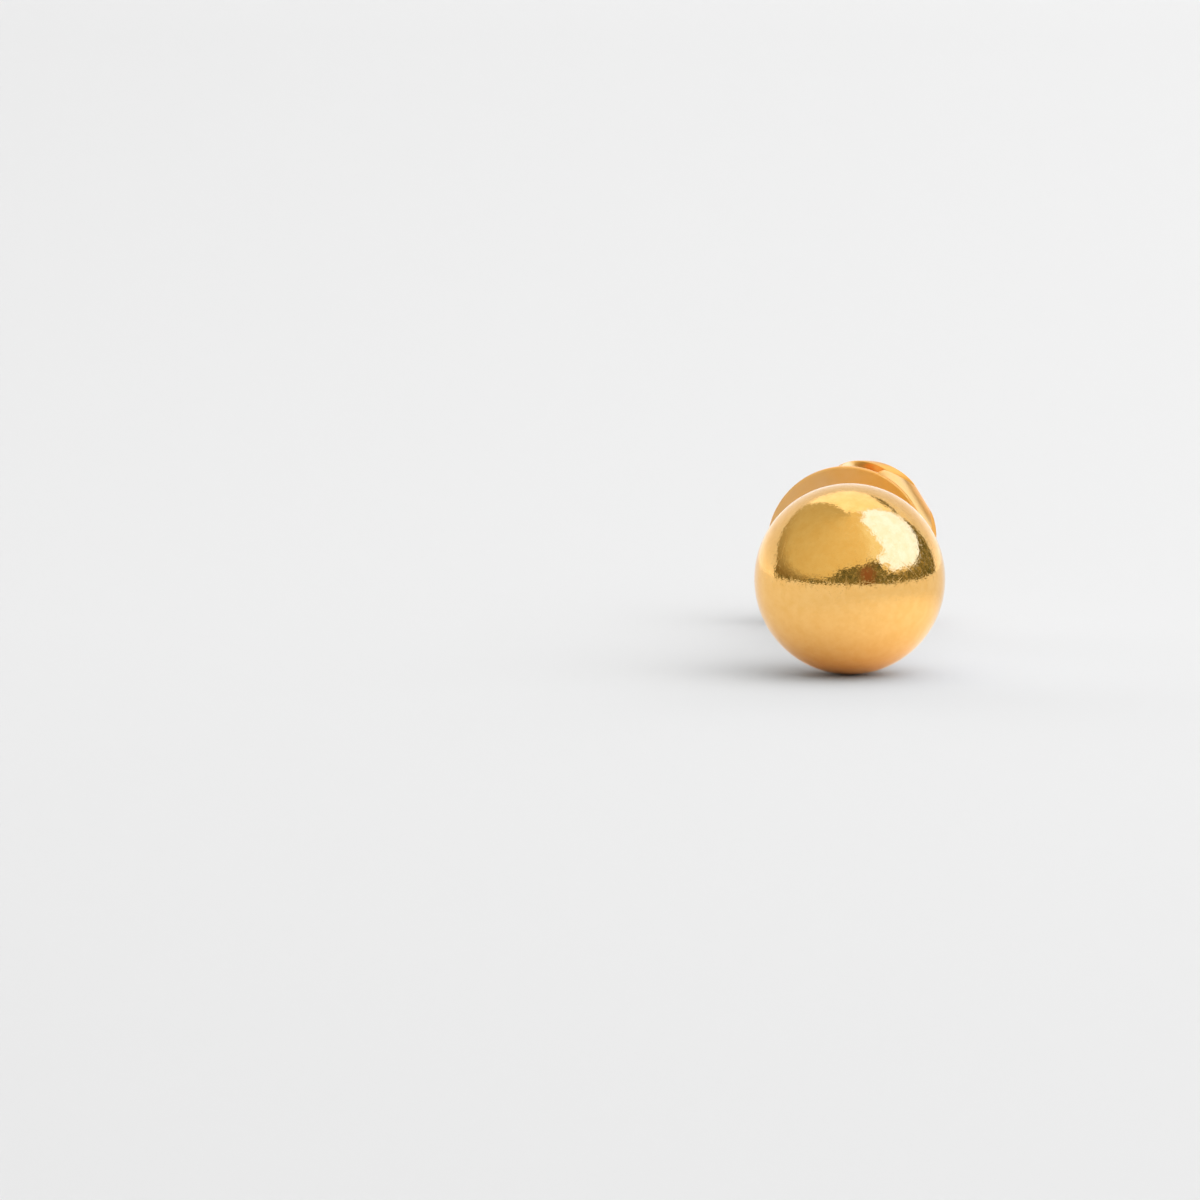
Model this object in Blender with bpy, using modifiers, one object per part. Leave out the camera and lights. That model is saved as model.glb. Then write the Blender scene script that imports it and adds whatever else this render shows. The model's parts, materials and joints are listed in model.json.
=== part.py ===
"""Ball stud earring with a butterfly back, lying on a flat surface.

Two pieces: a polished ball with its ear post soldered on, and the push-on back that slides along the post.
The back is one piece of sheet: a round plate with two wings rolled up behind it. It sits a little askew on
the post, as a worn-in back does. Units are metres, +Z is up. The post points along +Y and the ball is at -Y.
The origin is under the middle of the earring, on the surface that it lies on.
"""
import math

import bmesh
import bpy
from mathutils import Matrix, Vector

# Ball and post
BALL_RADIUS = 0.0025
POST_RADIUS = 0.00045
POST_TIP_ROUND = 0.00028
SOLDER_FILLET = 0.00035
BACK_STANDOFF = 0.00775
TIP_OVERHANG = 0.0010

# Butterfly back
SHEET_THICKNESS = 0.00028
PLATE_RADIUS = 0.00213
BACK_DEPTH = 0.0019
SCROLL_REACH = 0.00232
WING_RADIUS = 0.00193
BEND_HALF_WIDTH = 0.0004
NECK_HALF_WIDTH = 0.00123
NOTCH_DEPTH = 0.00046
POST_CLEARANCE = 0.00008
PLATE_EDGE_ROUND = 0.00006
SCROLL_END_GAP = 0.00012
WING_START_SHARE = 0.064

# How the back sits on the post
BACK_SKEW = math.radians(6)
BACK_ROLL = math.radians(31.5)

# Facets
SIDES = 40
BALL_BANDS = 20
ARC_STEPS = 5
SCROLL_STEPS = 21
CUT_MARGIN = 0.0005
MERGE = 0.000001

GOLD_COLOUR = (0.89, 0.61, 0.24, 1.0)
BACK_COLOUR = (0.86, 0.53, 0.16, 1.0)

HOLE_RADIUS_AT_PINCH = POST_RADIUS / math.cos(BACK_SKEW) + POST_CLEARANCE


def clear_scene():
    """Remove whatever the opened file holds."""
    for item in list(bpy.data.objects):
        bpy.data.objects.remove(item)


def new_collection(name):
    """Add a collection to the scene."""
    collection = bpy.data.collections.new(name)
    bpy.context.scene.collection.children.link(collection)
    return collection


def gold(name, colour, roughness):
    """Make a polished metal material."""
    material = bpy.data.materials.new(name)
    material.use_nodes = True
    shader = material.node_tree.nodes["Principled BSDF"]
    shader.inputs["Base Color"].default_value = colour
    shader.inputs["Metallic"].default_value = 1.0
    shader.inputs["Roughness"].default_value = roughness
    return material


def add_object(name, mesh, collection, material=None):
    """Put a mesh in the scene as a named object."""
    item = bpy.data.objects.new(name, mesh)
    collection.objects.link(item)
    if material:
        mesh.materials.append(material)
    return item


def arc(centre, radius, start, end, steps):
    """Points (along, out) of an arc, with angles measured from the post's direction."""
    points = []
    for step in range(steps + 1):
        angle = start + (end - start) * step / steps
        points.append((centre[0] + radius * math.cos(angle), centre[1] + radius * math.sin(angle)))
    return points


def post_length():
    """Distance from the ball's centre to the post's tip."""
    return BALL_RADIUS + BACK_STANDOFF + BACK_DEPTH + TIP_OVERHANG


def fillet_centre():
    """Centre of the solder fillet's hollow arc, which touches the ball and the post."""
    out = POST_RADIUS + SOLDER_FILLET
    return math.sqrt((BALL_RADIUS + SOLDER_FILLET) ** 2 - out ** 2), out


def stud_profile():
    """Half outline of ball, fillet and post, from the tip to the front of the ball."""
    tip = (post_length() - POST_TIP_ROUND, POST_RADIUS - POST_TIP_ROUND)
    along, out = fillet_centre()
    meeting = math.atan2(out, along)
    points = [(post_length(), 0.0)]
    points += arc(tip, POST_TIP_ROUND, 0.0, math.pi / 2, ARC_STEPS)
    points += arc((along, out), SOLDER_FILLET, -math.pi / 2, meeting - math.pi, ARC_STEPS)
    points += arc((0.0, 0.0), BALL_RADIUS, meeting, math.pi / 2, BALL_BANDS // 2)[1:]
    points += arc((0.0, 0.0), BALL_RADIUS, math.pi / 2, math.pi, BALL_BANDS // 2)[1:]
    points[-1] = (-BALL_RADIUS, 0.0)
    return points


def make_stud(collection, material):
    """Turn the ball and post about the post's axis as one solid."""
    half_side = math.pi / SIDES
    mesh = bpy.data.meshes.new("ball_and_post")
    points = [(out * math.sin(half_side), along, out * math.cos(half_side)) for along, out in stud_profile()]
    mesh.from_pydata(points, [(i, i + 1) for i in range(len(points) - 1)], [])
    stud = add_object("ball_and_post", mesh, collection, material)
    turn = stud.modifiers.new("turn", "SCREW")
    turn.axis = "Y"
    turn.angle = math.tau
    turn.steps = SIDES
    turn.render_steps = SIDES
    turn.use_merge_vertices = True
    turn.merge_threshold = MERGE
    turn.use_smooth_shade = True
    return stud


def cylinder_mesh(name, radius, front, rear, centre_x=0.0):
    """Solid cylinder along Y, from front to rear, with a corner on the X axis."""
    mesh = bpy.data.meshes.new(name)
    shape = bmesh.new()
    place = Matrix.Translation((centre_x, (front + rear) / 2, 0.0)) @ Matrix.Rotation(math.pi / 2, 4, "X")
    bmesh.ops.create_cone(
        shape, cap_ends=True, segments=SIDES, radius1=radius, radius2=radius, depth=rear - front,
        matrix=place @ Matrix.Rotation(math.pi / 2, 4, "Z"))
    shape.to_mesh(mesh)
    shape.free()
    return mesh


def box_mesh(name, low, high):
    """Solid box between two corners."""
    mesh = bpy.data.meshes.new(name)
    shape = bmesh.new()
    low, high = Vector(low), Vector(high)
    bmesh.ops.create_cube(shape, size=1.0)
    bmesh.ops.scale(shape, vec=high - low, verts=shape.verts)
    bmesh.ops.translate(shape, vec=(low + high) / 2, verts=shape.verts)
    shape.to_mesh(mesh)
    shape.free()
    return mesh


def boolean(item, other, operation):
    """Combine an object with another one by an exact Boolean."""
    step = item.modifiers.new(other.name, "BOOLEAN")
    step.object = other
    step.operation = operation
    step.solver = "EXACT"


def as_cutter(item):
    """Hide a guide solid from the render and draw it as wire."""
    item.hide_render = True
    item.display_type = "WIRE"
    return item


def scroll_spiral():
    """Centre (along X, along Y), first radius and shrink per turn of the scroll's middle line.

    The spiral starts in the plate's plane, touches SCROLL_REACH outside, BACK_DEPTH behind and the post's
    clearance inside.
    """
    first = (HOLE_RADIUS_AT_PINCH - SCROLL_REACH - SHEET_THICKNESS) / 2 + BACK_DEPTH
    shrink = 4 * first - 2 * (BACK_DEPTH - SHEET_THICKNESS)
    centre = (SCROLL_REACH - SHEET_THICKNESS / 2 - first + shrink / 4, SHEET_THICKNESS / 2 + first)
    return centre, first, shrink


def scroll_point(angle):
    """Point (along X, along Y) of the scroll's middle line at an angle from where it leaves the plate."""
    centre, first, shrink = scroll_spiral()
    radius = first - shrink * angle / math.tau
    return centre[0] + radius * math.sin(angle), centre[1] - radius * math.cos(angle)


def scroll_turn():
    """Angle at which the scroll ends, just clear of the plate's rear face."""
    limit = SHEET_THICKNESS * 1.5 + SCROLL_END_GAP
    low, high = math.radians(270), math.tau
    for _ in range(40):
        angle = (low + high) / 2
        if scroll_point(angle)[1] > limit:
            low = angle
        else:
            high = angle
    return low


def post_hole_radius():
    """Radius of the plate's hole, which clears the leaning post."""
    return HOLE_RADIUS_AT_PINCH + scroll_spiral()[0][1] * math.tan(BACK_SKEW)


def scroll_line():
    """Middle line of one wing's sheet, from beside the post hole round the scroll to its inner end."""
    turn = scroll_turn()
    hole, centre = post_hole_radius(), scroll_spiral()[0][0]
    start = (hole + WING_START_SHARE * (centre - hole), SHEET_THICKNESS / 2)
    return [start] + [scroll_point(turn * step / SCROLL_STEPS) for step in range(SCROLL_STEPS + 1)]


def make_wing(side, guides):
    """One rolled wing, cut to its round outline and notched beside its neck."""
    name = f"wing_{'right' if side > 0 else 'left'}"
    half_width = WING_RADIUS + CUT_MARGIN
    mesh = bpy.data.meshes.new(name)
    line = [(side * x, y) for x, y in scroll_line()]
    points = [(x, y, -half_width) for x, y in line] + [(x, y, half_width) for x, y in line]
    count = len(line)
    mesh.from_pydata(points, [], [(i, i + 1, count + i + 1, count + i) for i in range(count - 1)])
    wing = as_cutter(add_object(name, mesh, guides))
    sheet = wing.modifiers.new("sheet", "SOLIDIFY")
    sheet.thickness = SHEET_THICKNESS
    sheet.offset = 0.0
    sheet.use_even_offset = True

    offset = SCROLL_REACH - math.sqrt(WING_RADIUS ** 2 - BEND_HALF_WIDTH ** 2)
    outline = cylinder_mesh(f"{name}_outline", WING_RADIUS, -CUT_MARGIN, BACK_DEPTH + CUT_MARGIN, side * offset)
    boolean(wing, as_cutter(add_object(f"{name}_outline", outline, guides)), "INTERSECT")
    for end in (-1, 1):
        across = sorted((0.0, side * (SCROLL_REACH + CUT_MARGIN)))
        up = sorted((end * NECK_HALF_WIDTH, end * (half_width + CUT_MARGIN)))
        notch_name = f"{name}_notch_{'upper' if end > 0 else 'lower'}"
        notch = box_mesh(notch_name, (across[0], -CUT_MARGIN, up[0]), (across[1], NOTCH_DEPTH, up[1]))
        boolean(wing, as_cutter(add_object(notch_name, notch, guides)), "DIFFERENCE")
    return wing


def make_back(collection, guides, material):
    """Plate with its hole and both wings, as one solid in its own frame, with its front face at Y = 0."""
    mesh = cylinder_mesh("butterfly_back", PLATE_RADIUS, 0.0, SHEET_THICKNESS)
    back = add_object("butterfly_back", mesh, collection, material)
    edge = back.modifiers.new("plate_edge", "BEVEL")
    edge.width = PLATE_EDGE_ROUND
    edge.segments = 2
    edge.limit_method = "ANGLE"
    edge.angle_limit = math.radians(60)
    for side in (1, -1):
        boolean(back, make_wing(side, guides), "UNION")
    hole = cylinder_mesh("post_hole", post_hole_radius(), -CUT_MARGIN, SHEET_THICKNESS + SCROLL_END_GAP / 2)
    boolean(back, as_cutter(add_object("post_hole", hole, guides)), "DIFFERENCE")
    return back


def back_place():
    """Matrix that sets the back on the post: askew and rolled about the point where the scrolls pinch it."""
    pinch = scroll_spiral()[0][1]
    along = BALL_RADIUS + BACK_STANDOFF + pinch
    return (Matrix.Translation((0.0, along, 0.0)) @ Matrix.Rotation(-BACK_SKEW, 4, "Z")
            @ Matrix.Rotation(-BACK_ROLL, 4, "Y") @ Matrix.Translation((0.0, -pinch, 0.0)))


def evaluated_points(item):
    """Vertices of an object's evaluated mesh in its own frame."""
    shape = item.evaluated_get(bpy.context.evaluated_depsgraph_get()).to_mesh()
    return [vertex.co.copy() for vertex in shape.vertices]


def lie_down(stud, back, carrier):
    """Pitch the earring until ball and back both touch the surface, and centre it over the origin."""
    bpy.context.view_layer.update()
    ball = evaluated_points(stud)
    scrolls = [back_place() @ point for point in evaluated_points(back)]
    low, high = 0.0, math.radians(30)
    for _ in range(50):
        pitch = (low + high) / 2
        turn = Matrix.Rotation(-pitch, 3, "X")
        if min((turn @ point).z for point in scrolls) > min((turn @ point).z for point in ball):
            low = pitch
        else:
            high = pitch
    placed = [turn @ point for point in ball + scrolls]
    middle = [(min(p[axis] for p in placed) + max(p[axis] for p in placed)) / 2 for axis in (0, 1)]
    carrier.rotation_euler = (-pitch, 0.0, 0.0)
    carrier.location = (-middle[0], -middle[1], -min(point.z for point in placed))


def main():
    """Build the earring."""
    clear_scene()
    parts = new_collection("stud_earring")
    guides = new_collection("cutters")
    carrier = add_object("post_axis", None, parts)
    stud = make_stud(parts, gold("polished_gold", GOLD_COLOUR, 0.06))
    back = make_back(parts, guides, gold("back_gold", BACK_COLOUR, 0.16))
    lie_down(stud, back, carrier)
    seat = add_object("back_seat", None, parts)
    seat.matrix_basis = back_place()
    for item in (stud, seat):
        item.parent = carrier
    for item in (back, *guides.objects):
        item.parent = seat


main()
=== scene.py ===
"""Studio picture and visual model of a gold ball stud earring with a butterfly back.

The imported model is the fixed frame: the ball with its post, and the back that slides on the post. Finer
pieces stand for both, in the same place. They are modelled along +Z at the origin, as on a bench, and each
finished mesh is then moved to its seat.
"""
import json
import logging
import math
from collections.abc import Callable, Iterator
from contextlib import contextmanager
from dataclasses import dataclass, field
from enum import Enum

import bmesh
import bpy
from mathutils import Matrix, Vector


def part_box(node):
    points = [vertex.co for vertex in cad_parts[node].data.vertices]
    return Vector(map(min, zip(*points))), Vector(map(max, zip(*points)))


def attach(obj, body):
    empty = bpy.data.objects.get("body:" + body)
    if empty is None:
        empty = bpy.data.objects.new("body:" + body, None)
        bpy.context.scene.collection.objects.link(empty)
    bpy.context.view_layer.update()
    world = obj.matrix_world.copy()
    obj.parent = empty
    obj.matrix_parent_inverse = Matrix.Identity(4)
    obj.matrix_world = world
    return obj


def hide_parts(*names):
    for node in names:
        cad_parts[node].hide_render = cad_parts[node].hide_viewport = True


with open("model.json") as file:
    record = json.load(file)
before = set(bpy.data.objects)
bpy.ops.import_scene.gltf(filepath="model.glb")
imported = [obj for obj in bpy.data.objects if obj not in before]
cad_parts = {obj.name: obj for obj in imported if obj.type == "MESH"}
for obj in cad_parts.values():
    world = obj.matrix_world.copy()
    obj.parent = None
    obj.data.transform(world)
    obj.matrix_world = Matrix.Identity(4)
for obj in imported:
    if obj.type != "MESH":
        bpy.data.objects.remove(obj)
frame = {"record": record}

LOG = logging.getLogger("stud_earring")
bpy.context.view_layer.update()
MM_PER_METRE = 1000.0
MERGE_DISTANCE = 1e-7
FIRST_BOUNCE = 1.5  # ray depths below this are the light's first bounce
FLAT_LIMIT = 0.9  # a face whose normal has more than this along Z lies flat


class Body(Enum):
    """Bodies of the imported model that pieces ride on."""

    STUD = "stud"
    BACK = "back"


class Wing(Enum):
    """The two rolled wings of the back, with the half turn that sets each one on its side."""

    RIGHT = 0.0
    LEFT = math.pi


class NodeName(Enum):
    """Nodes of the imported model."""

    STUD = "ball_and_post"
    BACK = "butterfly_back"


class MeshPart(Enum):
    """Kinds of mesh part that can be selected, with the name of their list in a mesh."""

    VERT = "verts"
    EDGE = "edges"
    FACE = "faces"


# Modelling helpers


def clear_selection() -> None:
    """Leave edit mode and deselect every object."""
    if bpy.context.object and bpy.context.object.mode != "OBJECT":
        bpy.ops.object.mode_set(mode="OBJECT")
    bpy.ops.object.select_all(action="DESELECT")


def select_only(item: bpy.types.Object) -> None:
    """Select one object alone and make it the active one.

    Args:
        item: Object to select.
    """
    clear_selection()
    item.select_set(True)
    bpy.context.view_layer.objects.active = item


@contextmanager
def editing(item: bpy.types.Object) -> Iterator[None]:
    """Work on one object in edit mode.

    Args:
        item: Object to edit.

    Yields:
        Nothing, while the object is in edit mode.
    """
    select_only(item)
    bpy.ops.object.mode_set(mode="EDIT")
    yield
    bpy.ops.object.mode_set(mode="OBJECT")


def select_parts(item: bpy.types.Object, kind: MeshPart, wanted: Callable[[object], bool]) -> None:
    """Select, in edit mode, only the vertices, edges or faces that a test picks.

    Args:
        item: Object in edit mode.
        kind: Kind of part that is tested.
        wanted: Test of one part.
    """
    bpy.ops.mesh.select_all(action="DESELECT")
    bpy.ops.mesh.select_mode(type=kind.name)
    shape = bmesh.from_edit_mesh(item.data)
    for part in getattr(shape, kind.value):
        part.select_set(wanted(part))
    if kind is MeshPart.VERT:
        shape.select_flush(True)
    bmesh.update_edit_mesh(item.data)


def apply_place() -> None:
    """Put the selected object's place, turn and size into its mesh."""
    bpy.ops.object.transform_apply(location=True, rotation=True, scale=True)


def apply_modifier(item: bpy.types.Object, kind: str, **settings: object) -> None:
    """Add a modifier to an object and apply it.

    Args:
        item: Object to change.
        kind: Modifier type.
        settings: Values of the modifier's properties.
    """
    select_only(item)
    step = item.modifiers.new(kind.lower(), kind)
    for name, value in settings.items():
        setattr(step, name, value)
    bpy.ops.object.modifier_apply(modifier=step.name)


def close_up(item: bpy.types.Object) -> None:
    """Merge doubled vertices and point every face outwards.

    Args:
        item: Object to clean.
    """
    with editing(item):
        bpy.ops.mesh.select_all(action="SELECT")
        bpy.ops.mesh.remove_doubles(threshold=MERGE_DISTANCE)
        bpy.ops.mesh.normals_make_consistent(inside=False)


def smooth_by_angle(item: bpy.types.Object, degrees: float) -> None:
    """Shade an object smooth, with edges sharper than an angle kept crisp.

    Args:
        item: Object to shade.
        degrees: Smallest angle of a crisp edge.
    """
    select_only(item)
    bpy.ops.object.shade_smooth_by_angle(angle=math.radians(degrees))


def seat(item: bpy.types.Object, place: Matrix) -> None:
    """Move a finished piece to its seat and leave its object at the origin.

    Args:
        item: Finished piece, modelled at the origin.
        place: Matrix of its seat.
    """
    select_only(item)
    item.matrix_world = place
    apply_place()


def arc_points(centre: tuple[float, float], radius: float, start: float, end: float,
               steps: int) -> list[tuple[float, float]]:
    """Points of an arc in the plane (along the axis, out from the axis).

    Args:
        centre: Centre of the arc.
        radius: Radius of the arc.
        start: First angle, from the axis, in radians.
        end: Last angle, in radians.
        steps: Number of steps.

    Returns:
        The points after the first one, up to the last one.
    """
    angles = [start + (end - start) * step / steps for step in range(1, steps + 1)]
    return [(centre[0] + radius * math.cos(a), centre[1] + radius * math.sin(a)) for a in angles]


# Shader helpers


class NodeGraph:
    """Adds and links the nodes of one node tree."""

    def __init__(self, tree: bpy.types.NodeTree) -> None:
        """Keep the tree that nodes are added to."""
        self.tree = tree

    def add(self, kind: str, values: dict[str, object] | None = None, **settings: object) -> bpy.types.Node:
        """Add a node.

        Args:
            kind: Node type.
            values: Values or source sockets of the inputs, by name or by number.
            settings: Values of the node's properties.

        Returns:
            The new node.
        """
        node = self.tree.nodes.new(kind)
        for name, value in settings.items():
            setattr(node, name, value)
        for key, value in (values or {}).items():
            self.feed(node.inputs[key], value)
        return node

    def feed(self, socket: bpy.types.NodeSocket, value: object) -> None:
        """Link a source socket to an input, or set the input's own value.

        Args:
            socket: Input socket.
            value: Source socket, or a plain value.
        """
        if isinstance(value, bpy.types.NodeSocket):
            self.tree.links.new(value, socket)
        else:
            socket.default_value = value

    def math(self, operation: str, *values: object) -> bpy.types.NodeSocket:
        """Add a Math node.

        Args:
            operation: What the node works out.
            values: Its inputs, as sockets or numbers.

        Returns:
            Result socket.
        """
        node = self.add("ShaderNodeMath", operation=operation)
        for number, value in enumerate(values):
            self.feed(node.inputs[number], value)
        return node.outputs[0]

    def step(self, value: object, low: object, high: object) -> bpy.types.NodeSocket:
        """Smooth 0 to 1 step of a value between two limits.

        Args:
            value: Value to step.
            low: Value at which the step starts.
            high: Value at which it ends.

        Returns:
            Result socket.
        """
        node = self.add("ShaderNodeMapRange", {"Value": value, "From Min": low, "From Max": high},
                        interpolation_type="SMOOTHSTEP", clamp=True)
        return node.outputs["Result"]

    def blend(self, share: object, first: object, second: object) -> bpy.types.NodeSocket:
        """Colour that goes from the first to the second as the share goes from 0 to 1."""
        node = self.add("ShaderNodeMix", {0: share, 6: first, 7: second}, data_type="RGBA")
        return node.outputs[2]

    def noise(self, vector: object, scale: float, detail: float = 2.0,
              roughness: float = 0.5) -> bpy.types.NodeSocket:
        """Noise value around 0.5.

        Args:
            vector: Place or direction.
            scale: How fine the noise is.
            detail: Layers of finer noise.
            roughness: Strength of the finer layers.

        Returns:
            Value socket.
        """
        node = self.add("ShaderNodeTexNoise", {"Vector": vector, "Scale": scale, "Detail": detail,
                                               "Roughness": roughness})
        return node.outputs["Fac"]


def new_group(name: str, inputs: dict[str, tuple[str, object]], outputs: dict[str, str]) -> tuple[
        bpy.types.NodeTree, NodeGraph, bpy.types.Node, bpy.types.Node]:
    """Start a shader node group.

    Args:
        name: Name of the group.
        inputs: Socket type and default value of each input.
        outputs: Socket type of each output.

    Returns:
        The group, its graph, and its input and output nodes.
    """
    group = bpy.data.node_groups.new(name, "ShaderNodeTree")
    for socket, (kind, value) in inputs.items():
        made = group.interface.new_socket(socket, in_out="INPUT", socket_type=kind)
        made.default_value = value
    for socket, kind in outputs.items():
        group.interface.new_socket(socket, in_out="OUTPUT", socket_type=kind)
    graph = NodeGraph(group)
    return group, graph, graph.add("NodeGroupInput"), graph.add("NodeGroupOutput")


SCRATCH_TURNS = ((0.3, 0.9, 0.2), (1.2, -0.4, 1.0), (-0.7, 0.5, 2.1), (2.0, 1.4, -0.6))
SCRATCH_SHIFT = (3.1, 1.7)
FEWEST_SCRATCHES = 0.76
SCRATCH_GAIN = 0.12
SCRATCH_EDGE = 0.05
SPECK_LIMITS = (0.53, 0.66)


def scratch_group() -> bpy.types.NodeTree:
    """Build the group that draws fine hairline scratches in several directions.

    Returns:
        Group with a Mask output, 1 in a scratch and 0 beside it.
    """
    group, graph, given, result = new_group(
        "hairline_scratches",
        {"Position": ("NodeSocketVector", (0.0, 0.0, 0.0)), "Length": ("NodeSocketFloat", 0.9),
         "Spacing": ("NodeSocketFloat", 9.0), "Amount": ("NodeSocketFloat", 0.5)},
        {"Mask": "NodeSocketFloat"})
    gain = graph.math("MULTIPLY", given.outputs["Amount"], SCRATCH_GAIN)
    limit = graph.math("SUBTRACT", FEWEST_SCRATCHES, gain)
    total: object = 0.0
    for number, turn in enumerate(SCRATCH_TURNS):
        shift = (SCRATCH_SHIFT[0] * number, SCRATCH_SHIFT[1] * number, 0.0)
        turned = graph.add("ShaderNodeMapping", {"Vector": given.outputs["Position"], "Rotation": turn,
                                                 "Location": shift})
        stretch = graph.add("ShaderNodeCombineXYZ", {0: given.outputs["Length"], 1: given.outputs["Spacing"],
                                                     2: given.outputs["Length"]})
        lines = graph.add("ShaderNodeVectorMath", {0: turned.outputs[0], 1: stretch.outputs[0]},
                          operation="MULTIPLY")
        streak = graph.noise(lines.outputs[0], 1.0, detail=1.0)
        full = graph.math("ADD", limit, SCRATCH_EDGE)
        total = graph.math("MAXIMUM", total, graph.step(streak, limit, full))
    graph.feed(result.inputs["Mask"], total)
    return group


def dent_group() -> bpy.types.NodeTree:
    """Build the group that makes the tiny waves, pits and dull specks of hand-polished metal.

    Returns:
        Group with a Height output, and a Specks output that is 1 in a dull speck.
    """
    group, graph, given, result = new_group(
        "polishing_waves",
        {"Position": ("NodeSocketVector", (0.0, 0.0, 0.0)), "Waves": ("NodeSocketFloat", 1.2),
         "Grain": ("NodeSocketFloat", 7.0), "Grain Share": ("NodeSocketFloat", 0.12)},
        {"Height": "NodeSocketFloat", "Specks": "NodeSocketFloat"})
    waves = graph.add("ShaderNodeTexNoise", {"Vector": given.outputs["Position"],
                                             "Scale": given.outputs["Waves"], "Detail": 1.0})
    grain = graph.add("ShaderNodeTexNoise", {"Vector": given.outputs["Position"],
                                             "Scale": given.outputs["Grain"], "Detail": 2.0})
    share = graph.math("MULTIPLY", grain.outputs["Fac"], given.outputs["Grain Share"])
    graph.feed(result.inputs["Height"], graph.math("ADD", waves.outputs["Fac"], share))
    graph.feed(result.inputs["Specks"], graph.step(grain.outputs["Fac"], *SPECK_LIMITS))
    return group


def film_group() -> bpy.types.NodeTree:
    """Build the group that shifts the gold between a paler and a deeper tone in soft patches, and deeper
    towards +X by the lean, a painted light and reflection.

    Returns:
        Group with a Color and a Patch output.
    """
    group, graph, given, result = new_group(
        "gold_tone_patches",
        {"Position": ("NodeSocketVector", (0.0, 0.0, 0.0)), "Patch Scale": ("NodeSocketFloat", 1.1),
         "Lean": ("NodeSocketFloat", 0.0), "Evenness": ("NodeSocketFloat", 0.2),
         "Pale": ("NodeSocketColor", (1.0, 0.8, 0.5, 1.0)),
         "Deep": ("NodeSocketColor", (0.9, 0.5, 0.1, 1.0))},
        {"Color": "NodeSocketColor", "Patch": "NodeSocketFloat"})
    patch = graph.add("ShaderNodeTexNoise", {"Vector": given.outputs["Position"],
                                             "Scale": given.outputs["Patch Scale"], "Detail": 3.0,
                                             "Roughness": 0.6})
    across = graph.add("ShaderNodeSeparateXYZ", {0: given.outputs["Position"]}).outputs[0]
    # Painted light and reflection: the lean makes the tone deeper towards +X
    painted_light_leaning = graph.math("ADD", patch.outputs["Fac"], graph.math("MULTIPLY", across, given.outputs["Lean"]))
    low = graph.math("SUBTRACT", 0.5, given.outputs["Evenness"])
    share = graph.step(painted_light_leaning, low, graph.math("ADD", 0.5, given.outputs["Evenness"]))
    graph.feed(result.inputs["Color"], graph.blend(share, given.outputs["Pale"], given.outputs["Deep"]))
    graph.feed(result.inputs["Patch"], share)
    return group


@dataclass(frozen=True)
class GoldFinish:
    """A gold surface: its tone, polish, scratches and polishing waves.

    Colours are linear. Lengths of the texture are in millimetres. The light that the gold throws back on the
    paper is kept grey, as the picture's background is.
    """

    name: str
    pale: tuple[float, float, float]
    deep: tuple[float, float, float]
    polish: float
    scratched: float
    scratch_amount: float
    scratch_spacing: float
    wave_scale: float
    wave_height: float
    grain_share: float
    scratch_depth: float
    patch_scale: float
    # Painted light and reflection: how much deeper the tone grows towards +X
    lean: float
    evenness: float
    grain: float
    thrown_back: float = 0.55
    dulling: float = 1.5

    def material(self, effects: "GoldEffects") -> bpy.types.Material:
        """Build the finish's material.

        Args:
            effects: Node groups that the gold finishes share.

        Returns:
            The material.
        """
        made = bpy.data.materials.new(self.name)
        made.use_nodes = True
        graph = NodeGraph(made.node_tree)
        shader = made.node_tree.nodes["Principled BSDF"]
        place = graph.add("ShaderNodeTexCoord")
        in_mm = graph.add("ShaderNodeMapping", {"Vector": place.outputs["Object"],
                                                "Scale": (MM_PER_METRE,) * 3})
        here = in_mm.outputs[0]

        film = graph.add("ShaderNodeGroup", node_tree=effects.film)
        graph.feed(film.inputs["Position"], here)
        graph.feed(film.inputs["Patch Scale"], self.patch_scale)
        graph.feed(film.inputs["Lean"], self.lean)
        graph.feed(film.inputs["Evenness"], self.evenness)
        graph.feed(film.inputs["Pale"], (*self.pale, 1.0))
        graph.feed(film.inputs["Deep"], (*self.deep, 1.0))
        scratches = graph.add("ShaderNodeGroup", node_tree=effects.scratches)
        graph.feed(scratches.inputs["Position"], here)
        graph.feed(scratches.inputs["Amount"], self.scratch_amount)
        graph.feed(scratches.inputs["Spacing"], self.scratch_spacing)
        waves = graph.add("ShaderNodeGroup", node_tree=effects.dents)
        graph.feed(waves.inputs["Position"], here)
        graph.feed(waves.inputs["Waves"], self.wave_scale)
        graph.feed(waves.inputs["Grain"], self.grain)
        graph.feed(waves.inputs["Grain Share"], self.grain_share)

        rough = graph.add("ShaderNodeMapRange", {"Value": film.outputs["Patch"], "To Min": self.polish,
                                                 "To Max": self.polish * self.dulling})
        dulled = graph.math("MAXIMUM", scratches.outputs["Mask"], waves.outputs["Specks"])
        rougher = graph.add("ShaderNodeMapRange", {"Value": dulled,
                                                   "To Min": rough.outputs["Result"],
                                                   "To Max": self.scratched})
        wave_bump = graph.add("ShaderNodeBump", {"Height": waves.outputs["Height"], "Strength": 1.0,
                                                 "Distance": self.wave_height / MM_PER_METRE})
        scratch_bump = graph.add("ShaderNodeBump", {"Height": scratches.outputs["Mask"], "Strength": 1.0,
                                                    "Distance": self.scratch_depth / MM_PER_METRE,
                                                    "Normal": wave_bump.outputs[0]}, invert=True)
        path = graph.add("ShaderNodeLightPath")
        first_bounce = graph.math("LESS_THAN", path.outputs["Ray Depth"], FIRST_BOUNCE)
        from_paper = graph.math("MULTIPLY", path.outputs["Is Diffuse Ray"], first_bounce)
        base = graph.blend(from_paper, film.outputs["Color"], (self.thrown_back,) * 3 + (1.0,))
        graph.feed(shader.inputs["Base Color"], base)
        graph.feed(shader.inputs["Roughness"], rougher.outputs["Result"])
        graph.feed(shader.inputs["Normal"], scratch_bump.outputs[0])
        graph.feed(shader.inputs["Metallic"], 1.0)
        return made


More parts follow.
